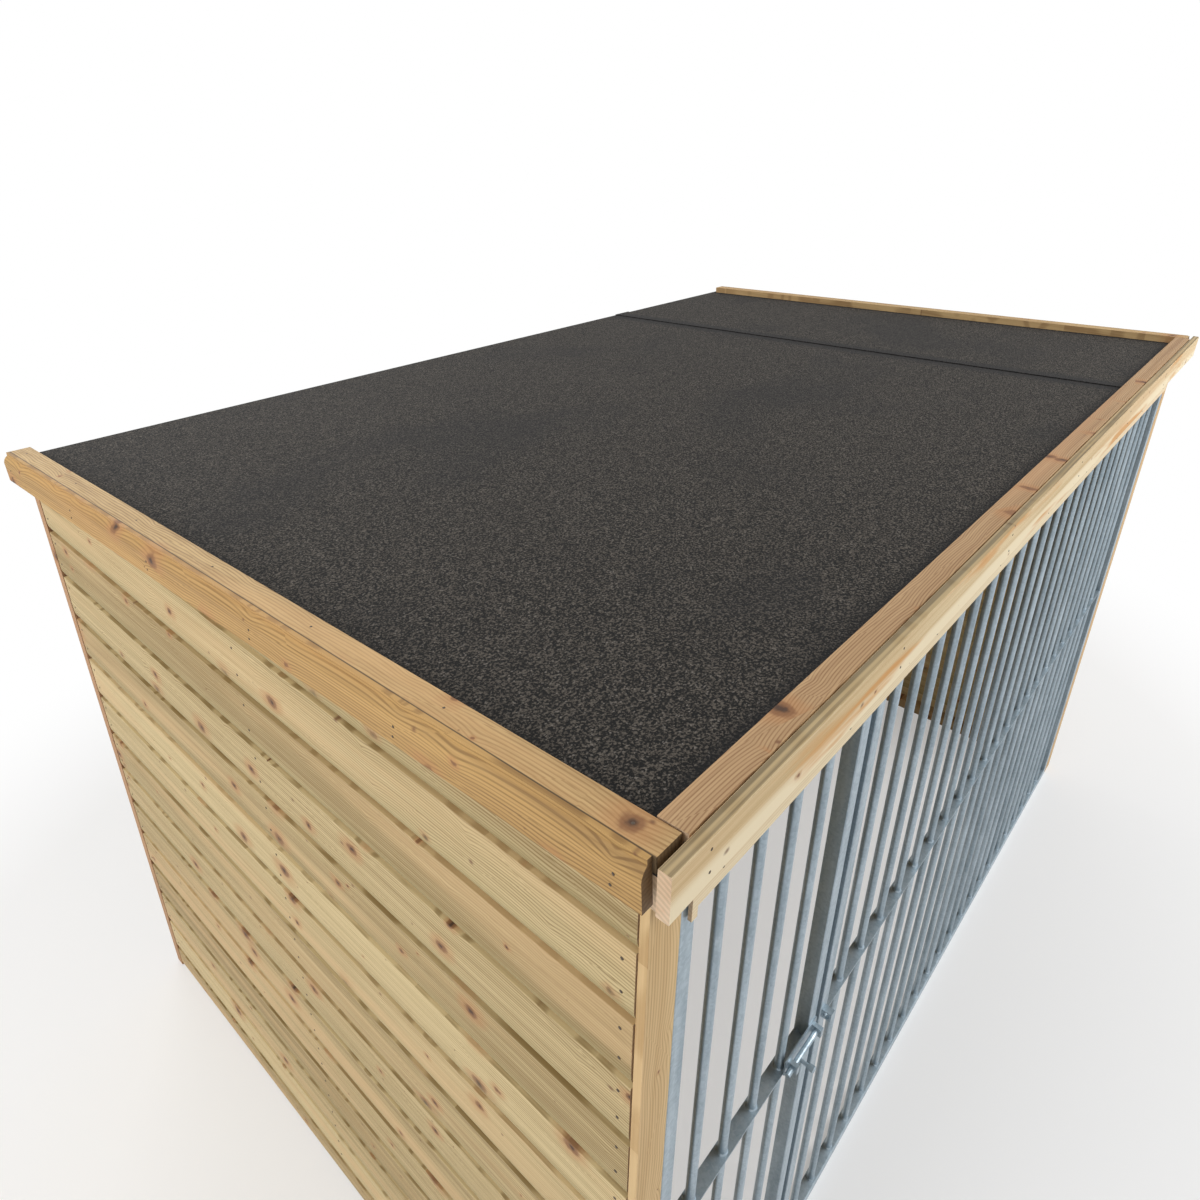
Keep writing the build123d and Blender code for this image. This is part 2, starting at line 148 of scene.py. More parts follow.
class Finish(Graph):
    """A material with one Principled shader."""

    def __init__(self, name, **constants):
        self.material = bpy.data.materials.new(name)
        self.material.use_nodes = True
        super().__init__(self.material.node_tree)
        self.tree.nodes.clear()
        self.shader = self.node("ShaderNodeBsdfPrincipled", None, constants)
        output = self.tree.nodes.new("ShaderNodeOutputMaterial")
        self.tree.links.new(self.shader.outputs[0], output.inputs[0])
        coordinates = self.node("ShaderNodeTexCoord")
        self.place = Wire(self, coordinates.outputs["Object"])
        self.normal = Wire(self, coordinates.outputs["Normal"])
        parts = self.node("ShaderNodeSeparateXYZ", None, {0: self.place})
        self.x, self.y, self.z = (Wire(self, parts.outputs[i]) for i in range(3))

    def set(self, name, wire):
        self.tree.links.new(wire.socket, self.shader.inputs[name])

    def bump(self, height, distance, strength=1.0):
        sockets = {"Height": height, "Distance": distance, "Strength": strength}
        self.set("Normal", self.out("ShaderNodeBump", None, sockets))


# Colours of the timber's marks and of its painted shade
KNOT_HALO = (0.44, 0.21, 0.085)
KNOT_CORE = (0.20, 0.085, 0.035)
KNOT_HEART = (0.035, 0.018, 0.012)
PIN_KNOT = (0.17, 0.075, 0.035)
RESIN = (0.62, 0.30, 0.08)
# Painted shade, olive-tinted, for the inward-curving foot of each wall board above the ledge below
OLIVE_LEDGE_SHADE = (0.32, 0.255, 0.11)
CRACK = (0.035, 0.022, 0.012)
END_TONE = (0.60, 0.44, 0.30)

# How the timber's figure lies, with spacings and sizes in metres
KNOT_SPACING = 0.20
KNOT_OVAL = 0.75  # distance along the grain counts this much, so knots are longer that way
BIG_KNOT_OVAL = 0.8
KNOTLESS = 0.35  # share of the cells that have no knot
PIN_SPACING = 0.16
PIN_SIZE = 0.0045
BOARD_SHIFT = 9.0  # most that one board's figure is moved along the grain
SWIRL_FADE = 42.0
SWIRL_TURN = 13.0
FINE_GRAIN = 260.0
COARSE_GRAIN = 60.0

# Colours of the zinc and the felt
ZINC_DARK = (0.25, 0.32, 0.37)
ZINC_LIGHT = (0.49, 0.575, 0.635)
ZINC_BLOOM = (0.70, 0.74, 0.76)
FELT_BLACK = (0.0015, 0.0015, 0.0013)
FELT_GREY = (0.104, 0.090, 0.075)
FELT_CHIP = (0.24, 0.22, 0.20)
FELT_DARKEST = (0.012, 0.012, 0.013)

# Where the felt darkens, in metres from its lap and its edges
LAP_DARKENS = (-0.07, -0.01)
LAP_CLEARS = (0.03, 0.08)
SIDE_DARKENS = (0.034, 0.006)
FRONT_DARKENS = (0.006, 0.042)


def knot_field(finish, along, across, spacing, height, seed, largest, spike=1.0):
    """Distance to the nearest knot and that knot's own size, one knot a cell."""
    cell = finish.vector(along / spacing, across / height + seed, 0.0)
    settings = {"voronoi_dimensions": "2D"}
    sockets = {"Vector": cell, "Scale": 1.0, "Randomness": 0.9}
    cells = finish.node("ShaderNodeTexVoronoi", settings, sockets)
    gap = finish.out(
        "ShaderNodeVectorMath",
        {"operation": "SUBTRACT"},
        {0: Wire(finish, cells.outputs["Position"]), 1: cell},
    )
    gap = finish.out(
        "ShaderNodeVectorMath",
        {"operation": "MULTIPLY"},
        {0: gap, 1: (spacing * KNOT_OVAL, height * spike, 0.0)},
    )
    draw = finish.out("ShaderNodeSeparateXYZ", None, {0: Wire(finish, cells.outputs["Color"])})
    return finish.length(gap), finish.smooth(draw, KNOTLESS, 1.0) * largest


def knots_in(finish, run, height, seed, largest, spike, big_knot):
    """Knots that gather in clusters, and one big knot where it is asked for."""
    distance, size = knot_field(finish, run, height, KNOT_SPACING, BOARD_COVER / 2, seed, largest, spike)
    cluster = finish.noise(finish.vector(run * 1.7, height * 4.0, seed), 1.0, 1.0)
    size = size * (finish.smooth(cluster, 0.40, 0.60) * 0.75 + 0.45)
    if big_knot:
        along, aside, radius = big_knot
        near = finish.length(finish.vector((run - along) * BIG_KNOT_OVAL, height - aside, 0.0))
        chosen = 1.0 - finish.smooth(near, radius * 3.0, radius * 3.2)
        distance = distance + (near - distance) * chosen
        size = size + (radius - size) * chosen
    return distance, size


def stain_knots(finish, color, core, distance, size):
    """A reddish halo, a brown core and a black heart."""
    halo = 1.0 - finish.smooth(distance, size * 0.9, size * 2.6 + 0.0005)
    heart = 1.0 - finish.smooth(distance, size * 0.15 - 0.0012, size * 0.55 - 0.0006)
    color = finish.mix(halo * 0.50, color, rgb(*KNOT_HALO))
    color = finish.mix(core * 0.80, color, rgb(*KNOT_CORE))
    return finish.mix(heart * 0.85, color, rgb(*KNOT_HEART))


def pin_knots(finish, color, run, height, seed, wobble):
    """Small brown knots between the large ones."""
    distance, size = knot_field(
        finish, run + 3.0, height, PIN_SPACING, BOARD_COVER, seed + 7.0, PIN_SIZE
    )
    distance = distance + (wobble - 0.5) * 0.005
    pin = 1.0 - finish.smooth(distance, size * 0.2 - 0.0008, size * 1.3 + 0.0004)
    return finish.mix(pin * 0.85, color, rgb(*PIN_KNOT))


def weathered_top(finish, color, facing, place, seed, top):
    """Weathered timber on the faces that look up."""
    run, height, depth = place
    upward = finish.smooth(Wire(finish, facing.outputs["Z"]), 0.6, 0.9)
    silver = finish.noise(finish.vector(run * 1.1, height * 160.0, depth * 130.0 + seed), 1.0, 3.0)
    shade = rgb(*(part * 0.32 for part in top))
    weathered = finish.mix(finish.smooth(silver, 0.44, 0.60), rgb(*top), shade)
    return finish.mix(upward * 0.85, color, weathered)


def trim_joint(finish, color, fibres, joint):
    """The dark line where a fascia and a batten meet, on both sides of the roof."""
    crack = finish.math("ABSOLUTE", finish.math("ABSOLUTE", finish.x) - joint)
    crack = 1.0 - finish.smooth(crack + fibres * 0.0012, 0.0011, 0.0022)
    return finish.mix(crack * 0.85, color, rgb(*CRACK))


def end_grain(finish, color, facing, grain, place, end_tone_and_shade):
    """Growth rings on the faces that cut across the grain, in the end colour given, which on the side trims
    is painted shade.
    """
    _, height, depth = place
    end = finish.math("ABSOLUTE", Wire(finish, facing.outputs[grain]))
    end = finish.smooth(end, 0.8, 0.95)
    growth = finish.out(
        "ShaderNodeTexWave",
        {"wave_type": "RINGS", "rings_direction": "SPHERICAL"},
        {"Vector": finish.vector(height * 1.0, depth * 1.0 + 0.05, 0.0), "Scale": 42.0, "Distortion": 1.5},
    )
    shade = rgb(*(part * 0.5 for part in end_tone_and_shade))
    return finish.mix(end * 0.8, color, finish.mix(growth * 0.5, rgb(*end_tone_and_shade), shade))


def timber(
    name,
    light,
    dark,
    grain="X",
    across="Z",
    fall=0.0,
    boards=False,
    knots=0.013,
    resin=0.0,
    top=None,
    joint=0.0,
    pale_below=0.0,
    big_knot=None,
    end_tone_and_shade=END_TONE,
    ring=1050.0,
    spike=1.0,
    seed=0.0,
):
    """Planed softwood: long grain, growth rings that bend round knots, end grain."""
    finish = Finish(name, **{"Roughness": 0.62, "Specular IOR Level": 0.35})
    axes = {"X": finish.x, "Y": finish.y, "Z": finish.z}
    run = axes[grain]
    height = axes[across] + finish.y * fall if fall else axes[across]
    depth = axes[({"X", "Y", "Z"} - {grain, across}).pop()]
    if boards:
        level = (height - (BOARD_LINE - BOARD_COVER) - LEDGE_SKIN) / BOARD_COVER
        number = finish.math("FLOOR", level)
        tint = finish.out("ShaderNodeTexWhiteNoise", {"noise_dimensions": "1D"}, {"W": number + seed})
        run = run + tint * BOARD_SHIFT
        in_board = finish.math("FRACT", level) * BOARD_COVER
    else:
        tint = finish.noise(finish.vector(run * 0.9, seed, 0.0), 1.0, 1.0)
    distance, size = knots_in(finish, run, height, seed, knots, spike, big_knot)

    swirl = finish.math("EXPONENT", distance * -SWIRL_FADE) * SWIRL_TURN
    wander = finish.noise(finish.vector(run * 0.4, height * 3.5, depth * 3.5 + seed), 1.0, 2.0)
    rings = finish.math("SINE", height * ring + wander * 40.0 + swirl)
    fine = finish.vector(run * 3.0, height * FINE_GRAIN, depth * FINE_GRAIN)
    streaks = finish.noise(fine, 1.0, 4.0, 0.6)
    coarse = finish.vector(run * 1.2, height * COARSE_GRAIN, depth * COARSE_GRAIN + seed)
    fibres = finish.noise(coarse, 1.0, 3.0, 0.6)
    patches = finish.noise(finish.vector(run * 0.6, height * 10.0, seed), 1.0, 3.0)
    tone = finish.smooth(rings, -0.2, 1.0) * 0.25 + streaks * 0.42 + fibres * 0.62 + tint * 0.34 - 0.45
    color = finish.mix(finish.smooth(tone, 0.0, 0.68), rgb(*light), rgb(*dark))
    warm = finish.smooth(patches, 0.46, 0.70) * 0.6
    color = finish.mix(warm, color, rgb(light[0], light[1] * 0.86, light[2] * 0.82))
    if pale_below:
        edge = height + (fibres - 0.5) * 0.02
        pale = 1.0 - finish.smooth(edge, pale_below - 0.006, pale_below + 0.012)
        color = finish.mix(pale, color, rgb(*SAPWOOD))
    if resin:
        slant = (run + height * 2.5) * 2.4
        streak = finish.noise(finish.vector(slant, height * 26.0, depth * 26.0 + seed), 1.0, 4.0)
        color = finish.mix(finish.smooth(streak, 0.51, 0.66) * resin, color, rgb(*RESIN))

    wobble = finish.noise(finish.vector(run * 75.0, height * 55.0, seed), 1.0, 2.0)
    ragged = distance + (streaks - 0.5) * 0.003 + (wobble - 0.5) * 0.011
    core = 1.0 - finish.smooth(ragged, size * 0.55, size * 1.0 + 0.0003)
    color = stain_knots(finish, color, core, ragged, size)
    color = pin_knots(finish, color, run, height, seed, wobble)
    if boards:
        # Painted shade: the foot of each board, curving in above the ledge below, darkened towards olive
        ledge_shade = 1.0 - finish.smooth(in_board + (fibres - 0.5) * 0.02, 0.0, BOARD_SCOOP * 1.7)
        color = finish.mix(ledge_shade * 0.72, color, rgb(*OLIVE_LEDGE_SHADE))

    place = (run, height, depth)
    facing = finish.node("ShaderNodeSeparateXYZ", None, {0: finish.normal})
    if top:
        color = weathered_top(finish, color, facing, place, seed, top)
    if joint:
        color = trim_joint(finish, color, fibres, joint)
    finish.set("Base Color", end_grain(finish, color, facing, grain, place, end_tone_and_shade))
    finish.set("Roughness", 0.52 + streaks * 0.24)
    finish.bump(streaks * 0.5 + rings * 0.15 - core * 0.4, 0.0004, 0.5)
    return finish.material


def galvanised(name, seed=0.0):
    """Hot-dip zinc: dull blue-grey with cloudy mottling and paler runs."""
    finish = Finish(name, **{"Specular IOR Level": 0.5})
    spot = finish.vector(finish.x + seed, finish.y, finish.z * 0.35)
    clouds = finish.noise(spot, 22.0, 4.0, 0.6)
    runs = finish.noise(finish.vector(finish.x * 50.0 + seed, finish.y * 50.0, finish.z * 2.0), 1.0, 3.0)
    sockets = {"Vector": finish.place, "Scale": 190.0}
    flakes = finish.out("ShaderNodeTexVoronoi", None, sockets, output="Color")
    flake = finish.out("ShaderNodeSeparateXYZ", None, {0: flakes})
    tone = finish.smooth(clouds * 0.45 + runs * 0.40 + flake * 0.12, 0.22, 0.78)
    color = finish.mix(tone, rgb(*ZINC_DARK), rgb(*ZINC_LIGHT))
    white = finish.smooth(finish.noise(spot, 8.0, 5.0, 0.7), 0.62, 0.76)
    finish.set("Base Color", finish.mix(white * 0.3, color, rgb(*ZINC_BLOOM)))
    finish.set("Metallic", 0.55 + tone * 0.2)
    finish.set("Roughness", 0.46 - tone * 0.12)
    finish.bump(clouds * 0.4 + runs * 0.4, 0.00006, 0.2)
    return finish.material


def mineral_felt(name):
    """Dark felt with pale and black granules, faint blotches and a darker lap."""
    finish = Finish(name, **{"Roughness": 0.88, "Specular IOR Level": 0.25})
    grains = finish.node("ShaderNodeTexVoronoi", None, {"Vector": finish.place, "Scale": 420.0})
    draw = finish.out("ShaderNodeSeparateXYZ", None, {0: Wire(finish, grains.outputs["Color"])})
    speck = finish.noise(finish.place, 245.0, 2.0, 0.6)
    clumps = finish.noise(finish.place, 45.0, 2.0, 0.6)
    blotch = finish.noise(finish.vector(finish.x, finish.y * 1.6, 0.0), 1.3, 4.0, 0.55)
    level = finish.smooth(speck * 0.80 + draw * 0.20 + clumps * 0.10, 0.50, 0.70)
    color = finish.mix(level, rgb(*FELT_BLACK), rgb(*FELT_GREY))
    pale = finish.smooth(draw, 0.95, 0.99)
    color = finish.mix(pale * 0.45, color, rgb(*FELT_CHIP))

    dark = finish.smooth(blotch, 0.48, 0.66) * 0.45
    wavy = finish.x + finish.noise(finish.place, 3.0) * 0.02
    lap_start = finish.smooth(wavy, FELT_LAP + LAP_DARKENS[0], FELT_LAP + LAP_DARKENS[1])
    lap_end = finish.smooth(wavy, FELT_LAP + LAP_CLEARS[0], FELT_LAP + LAP_CLEARS[1])
    dark = finish.math("MAXIMUM", dark, lap_start * (1.0 - lap_end) * 0.75)
    # Darker towards the side battens and the front batten
    from_middle = finish.math("ABSOLUTE", finish.x)
    side = finish.smooth(from_middle, FELT_SIDE - SIDE_DARKENS[0], FELT_SIDE - SIDE_DARKENS[1])
    front = 1.0 - finish.smooth(finish.y, FELT_FRONT + FRONT_DARKENS[0], FELT_FRONT + FRONT_DARKENS[1])
    dark = finish.math("MAXIMUM", dark, finish.math("MAXIMUM", side, front) * 0.9)
    finish.set("Base Color", finish.mix(dark, color, rgb(*FELT_DARKEST)))
    finish.bump(speck * 0.8 + clumps * 0.2, 0.0030, 0.8)
    return finish.material


def paint(node, material):
    """Gives a CAD node its finish."""
    piece = bpy.data.objects[node]
    piece.data.materials.clear()
    piece.data.materials.append(material)


# Light and dark grain of each kind of board
GREEN_PINE = (0.645, 0.51, 0.275)
GREEN_PINE_DARK = (0.25, 0.165, 0.06)
SHADED_PINE = (0.50, 0.37, 0.20)
SHADED_PINE_DARK = (0.30, 0.20, 0.095)
HONEY = (0.69, 0.49, 0.25)
HONEY_DARK = (0.44, 0.27, 0.11)
CREAM = (0.80, 0.65, 0.40)
CREAM_DARK = (0.50, 0.33, 0.14)
SAPWOOD = (0.86, 0.73, 0.50)
BOARD_KNOT = 0.0155  # largest knot in the cladding

for number, side in enumerate(("left", "right")):
    walls = timber(
        f"{side}_cladding_pine",
        GREEN_PINE,
        GREEN_PINE_DARK,
        "Y",
        "Z",
        boards=True,
        knots=BOARD_KNOT,
        seed=3.0 + number,
    )
    paint(f"{side}_wall_boards", walls)
    low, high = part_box(f"{side}_batten")
    trim = timber(
        f"{side}_batten_pine",
        (0.62, 0.43, 0.20),
        (0.28, 0.165, 0.065),
        "Y",
        "X",
        seed=5.0 + number,
        knots=0.016,
        joint=JOINT,
        big_knot=(low[1] + BATTEN_KNOT_BACK, (low[0] + high[0]) / 2, 0.017),
        # Near-black end faces: painted shade of the gap where the battens meet the front fascia
        end_tone_and_shade=(0.035, 0.022, 0.015),
    )
    paint(f"{side}_batten", trim)
    pink = timber(
        f"{side}_fascia_pine",
        (0.56, 0.345, 0.125),
        (0.23, 0.125, 0.04),
        "Y",
        "Z",
        fall=ROOF_FALL,
        joint=JOINT,
        knots=0.016,
        # Dark end faces: painted shade of the gap where the fascias meet the front fascia
        end_tone_and_shade=(0.15, 0.095, 0.055),
        seed=11.0 + number,
    )
    paint(f"{side}_fascia", pink)
    upright = timber(f"{side}_upright_pine", HONEY, HONEY_DARK, "Z", "X", seed=17.0 + number, knots=0.008)
    paint(f"{side}_corner_board", upright)
    post = timber(f"{side}_post_pine", (0.52, 0.31, 0.16), (0.33, 0.17, 0.08), "Z", "Y", seed=23.0 + number)
    paint(f"{side}_rear_post", post)
    studs = timber(f"{side}_stud_pine", SHADED_PINE, SHADED_PINE_DARK, "Z", "Y", seed=29.0)
    paint(f"{side}_wall_studs", studs)
    rails = timber(f"{side}_rail_pine", SHADED_PINE, SHADED_PINE_DARK, "Y", "Z", seed=31.0)
    paint(f"{side}_wall_rails", rails)
rear = timber(
    "rear_cladding_pine",
    GREEN_PINE,
    GREEN_PINE_DARK,
    "X",
    "Z",
    boards=True,
    knots=BOARD_KNOT,
    seed=8.0,
)
paint("rear_wall_boards", rear)
level_pine = timber("level_frame_pine", SHADED_PINE, SHADED_PINE_DARK, "X", "Z", seed=37.0)
for node in ("rear_wall_rails", "roof_purlins", "front_beam"):
    paint(node, level_pine)
paint("rear_wall_studs", timber("rear_stud_pine", SHADED_PINE, SHADED_PINE_DARK, "Z", "X", seed=41.0))
paint("roof_boards", timber("deck_pine", SHADED_PINE, SHADED_PINE_DARK, "X", "Y", seed=43.0))
front_batten_pine = timber(
    "front_batten_pine",
    (0.53, 0.35, 0.185),
    (0.24, 0.125, 0.055),
    "X",
    "Y",
    ring=1300.0,
    knots=0.015,
    spike=0.35,
    seed=47.0,
)
paint("front_batten", front_batten_pine)
fascia_pine = timber(
    "front_fascia_pine",
    CREAM,
    CREAM_DARK,
    "X",
    "Z",
    resin=0.9,
    knots=0.006,
    top=(0.42, 0.31, 0.16),
    pale_below=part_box("front_fascia")[0][2] + 0.026,
    end_tone_and_shade=(0.66, 0.46, 0.31),
    ring=2300.0,
    seed=53.0,
)
paint("front_fascia", fascia_pine)
lath_pine = timber("lath_pine", (0.84, 0.72, 0.50), (0.70, 0.54, 0.32), "X", "Z", knots=0.004, seed=59.0)
paint("front_lath", lath_pine)
paint("lath_end_block", lath_pine)
paint("roofing_felt", mineral_felt("granule_felt"))
zinc = galvanised("zinc_tube")
for node in (
    "panel_stiles panel_rails panel_mid_strip door_stiles door_rails door_mid_strip "
    "hinge_eyes hinge_brackets bolt_guides bolt_keeper bolt_rod"
).split():
    paint(node, zinc)


SHARP_PIECE = math.radians(40.0)
BAR_SIDES = 28
COLLAR_HEIGHT = 0.0035
COLLAR_FLARE = 0.0022


class PieceTree(Graph):
    """A Geometry Nodes tree with named inputs that ends in one mesh."""

    def __init__(self, name, inputs):
        super().__init__(bpy.data.node_groups.new(name, "GeometryNodeTree"))
        self.names = {}
        for label, kind in {"Geometry": "Geometry", **inputs}.items():
            self.names[label] = self.socket(label, "INPUT", kind)
        self.socket("Geometry", "OUTPUT", "Geometry")
        self.entry = self.node("NodeGroupInput")

    def socket(self, label, way, kind):
        return self.tree.interface.new_socket(label, in_out=way, socket_type=f"NodeSocket{kind}")

    def given(self, label):
        return Wire(self, self.entry.outputs[label])

    def end(self, wires):
        joined = self.node("GeometryNodeJoinGeometry")
        for wire in wires:
            self.tree.links.new(wire.socket, joined.inputs[0])
        real = self.out("GeometryNodeRealizeInstances", None, {0: Wire(self, joined.outputs[0])})
        sockets = {"Geometry": real, "Material": self.given("Finish")}
        coated = self.out("GeometryNodeSetMaterial", None, sockets)
        self.node("NodeGroupOutput", None, {0: coated})

    def make(self, name, mesh, values, body, slot):
        """Runs the tree on a mesh and keeps the result as a plain piece."""
        source = bpy.data.objects.new(f"{name}_source", mesh)
        bpy.context.scene.collection.objects.link(source)
        modifier = source.modifiers.new("shape", "NODES")
        modifier.node_group = self.tree
        for label, value in values.items():
            modifier[self.names[label].identifier] = value
        ready = source.evaluated_get(bpy.context.evaluated_depsgraph_get())
        made = bpy.data.meshes.new_from_object(ready)
        source.modifiers.clear()
        bpy.data.objects.remove(source)
        made.shade_smooth()
        made.set_sharp_from_angle(angle=SHARP_PIECE)
        piece = bpy.data.objects.new(name, made)
        bpy.context.scene.collection.objects.link(piece)
        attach(piece, body)
        return piece


def bar_tree():
    """A row of round bars with a weld collar at each end and on the middle strip."""
    sizes = {"First": "Float", "Pitch": "Float", "Depth": "Float", "Low": "Float", "High": "Float"}
    tree = PieceTree("bar_row", {"Count": "Int", **sizes, "Radius": "Float", "Finish": "Material"})
    low, high, radius = tree.given("Low"), tree.given("High"), tree.given("Radius")

    def row(height, shape):
        start = tree.vector(tree.given("First"), tree.given("Depth"), height)
        step = tree.vector(tree.given("Pitch"), 0, 0)
        sockets = {"Count": tree.given("Count"), "Start Location": start, "Offset": step}
        line = tree.out("GeometryNodeMeshLine", {"mode": "OFFSET"}, sockets)
        return tree.out("GeometryNodeInstanceOnPoints", None, {"Points": line, "Instance": shape})

    def collar(top, bottom):
        sockets = {"Vertices": BAR_SIDES, "Depth": COLLAR_HEIGHT, "Radius Top": top, "Radius Bottom": bottom}
        return tree.out("GeometryNodeMeshCone", None, sockets)

    sockets = {"Vertices": BAR_SIDES, "Radius": radius, "Depth": high - low}
    bar = tree.out("GeometryNodeMeshCylinder", None, sockets)
    rising = collar(radius, radius + COLLAR_FLARE)
    falling = collar(radius + COLLAR_FLARE, radius)
    ends = [row(low, rising), row(high - COLLAR_HEIGHT, falling)]
    tree.end([row((low + high) * 0.5, bar), *ends, row(STRIP_TOP, rising)])
    return tree


def head_tree():
    """Small domed fastener heads, one on each point."""
    tree = PieceTree("fastener_heads", {"Radius": "Float", "Flat": "Vector", "Finish": "Material"})
    sockets = {"Segments": 10, "Rings": 6, "Radius": tree.given("Radius")}
    ball = tree.out("GeometryNodeMeshUVSphere", None, sockets)
    heads = tree.out(
        "GeometryNodeInstanceOnPoints",
        None,
        {"Points": tree.given("Geometry"), "Instance": ball, "Scale": tree.given("Flat")},
    )
    tree.end([heads])
    return tree


# One wall board in section, in metres
BOARD_THICK = 0.020
SCOOP_DEPTH = 0.009
SCOOP_STEPS = 9
LEDGE_ROUND = 0.0012
TONGUE = (0.005, 0.010)  # thickness and height
SLACK = 0.0005
BOARD_TOTAL = 15
UNEVEN_END = 0.0018
MERGE_WITHIN = 0.00002
SHARP_SIDING = math.radians(25.0)
UNDER_DECK = 0.0003
chance = random.Random(4)


def board_section(number):
    """Outline of one wall board: rounded foot, flat face, eased ledge and tongue."""
    base = 0.0 if number == 0 else BOARD_LINE + BOARD_COVER * (number - 1)
    top = BOARD_LINE + BOARD_COVER * number
    outline = []
    for step in range(SCOOP_STEPS + 1):
        share = step / SCOOP_STEPS
        outline.append((BOARD_THICK - SCOOP_DEPTH * (1 - share) ** 2, base + SLACK + share * BOARD_SCOOP))
    for turn in (0, 30, 60, 90):
        angle = math.radians(turn)
        out = BOARD_THICK - LEDGE_ROUND * (1 - math.cos(angle))
        outline.append((out, top - LEDGE_ROUND * (1 - math.sin(angle))))
    width, rise = TONGUE
    outline += [(width, top), (width, top + rise), (0.0, top + rise)]
    if number:
        rebate = base + rise + SLACK
        outline += [(0.0, rebate), (width + SLACK, rebate), (width + SLACK, base + SLACK)]
    else:
        outline += [(0.0, base + SLACK)]
    return outline


def siding(name, node, finish, place, low, high, ceiling, breaks=()):
    """Boards up one wall; place turns (out, along, up) into a point of the run."""
    mesh = bmesh.new()
    for number in range(BOARD_TOTAL):
        outline = board_section(number)
        ends = [low + chance.uniform(0.0, UNEVEN_END), *breaks, high - chance.uniform(0.0, UNEVEN_END)]
        rows = []
        for along in ends:
            points = [place(out, along, min(up, ceiling(along))) for out, up in outline]
            rows.append([mesh.verts.new(point) for point in points])
        for first, second in zip(rows, rows[1:]):
            for corner in range(len(outline)):
                after = (corner + 1) % len(outline)
                mesh.faces.new((first[corner], first[after], second[after], second[corner]))
        mesh.faces.new(rows[0])
        mesh.faces.new(rows[-1])
    bmesh.ops.remove_doubles(mesh, verts=mesh.verts, dist=MERGE_WITHIN)
    bmesh.ops.dissolve_degenerate(mesh, edges=mesh.edges, dist=MERGE_WITHIN)
    bmesh.ops.recalc_face_normals(mesh, faces=mesh.faces)
    made = bpy.data.meshes.new(name)
    mesh.to_mesh(made)
    mesh.free()
    made.shade_smooth()
    made.set_sharp_from_angle(angle=SHARP_SIDING)
    made.materials.append(finish)
    piece = bpy.data.objects.new(name, made)
    bpy.context.scene.collection.objects.link(piece)
    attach(piece, "run")
    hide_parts(node)


STUD_LOW, STUD_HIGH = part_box("left_wall_studs")


def roof_line(y):
    """Height of the deck's underside, less a hair."""
    return STUD_HIGH[2] - ROOF_FALL * (y - STUD_LOW[1]) - UNDER_DECK


def roof_meets(level):
    """How far back the deck's underside comes down to a height."""
    return STUD_LOW[1] + (STUD_HIGH[2] - UNDER_DECK - level) / ROOF_FALL


def side_wall(sign, inner):
    """Turns a distance out from the studs, one along and one up into a point of a side wall."""

    def place(out, along, up):
        return (sign * (inner + out), along, up)

    return place


LAST_LINE = BOARD_LINE + BOARD_COVER * (BOARD_TOTAL - 1)
slope_breaks = [roof_meets(LAST_LINE + TONGUE[1]), roof_meets(LAST_LINE)]
for side, sign in (("left", -1), ("right", 1)):
    low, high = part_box(f"{side}_wall_boards")
    inner = min(abs(low[0]), abs(high[0]))
    siding(
        f"{side}_siding",
        f"{side}_wall_boards",
        bpy.data.materials[f"{side}_cladding_pine"],
        side_wall(sign, inner),
        low[1],
        high[1],
        roof_line,
        slope_breaks,
    )
REAR_LOW, REAR_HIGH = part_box("rear_wall_boards")


def rear_wall(out, along, up):
    """Turns a distance out from the studs, one along and one up into a point of the rear wall."""
    return (along, REAR_LOW[1] + out, up)


def rear_top(along):
    """The rear wall's boards all end at one height."""
    return REAR_HIGH[2]


siding(
    "rear_siding",
    "rear_wall_boards",
    bpy.data.materials["rear_cladding_pine"],
    rear_wall,
    REAR_LOW[0],
    REAR_HIGH[0],
    rear_top,
)

bars = bar_tree()
PANEL_BARS = (22, 0.100)  # how many, and their pitch
DOOR_BARS = (4, 0.098)
for prefix, body, (count, pitch) in (("panel", "run", PANEL_BARS), ("door", "door", DOOR_BARS)):
    low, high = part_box(f"{prefix}_bars")
    values = {
        "Count": count,
        "First": low[0] + BAR_RADIUS,
        "Pitch": pitch,
        "Depth": low[1] + BAR_RADIUS,
        "Low": low[2],
        "High": high[2],
        "Radius": BAR_RADIUS,
        "Finish": galvanised(f"{prefix}_bar_zinc", seed=2.0 + count),
    }
    row = bars.make(f"{prefix}_round_bars", bpy.data.meshes.new("empty"), values, body, "galvanised")
    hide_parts(f"{prefix}_bars")

heads = head_tree()
rust = Finish("nail_steel", **{"Base Color": rgb(0.10, 0.075, 0.055), "Metallic": 0.6})
rust.set("Roughness", 0.45 + rust.noise(rust.place, 300.0) * 0.3)


def fasteners(name, places, flat, radius, slot):
    """One head at each place, flattened into its surface."""
    mesh = bpy.data.meshes.new(name)
    mesh.from_pydata(places, [], [])
    values = {"Radius": radius, "Flat": flat, "Finish": rust.material}
    heads.make(name, mesh, values, "run", slot)


def spread(low, high, count):
    """Evenly spaced values from low to high."""
    return [low + (high - low) * number / (count - 1) for number in range(count)]


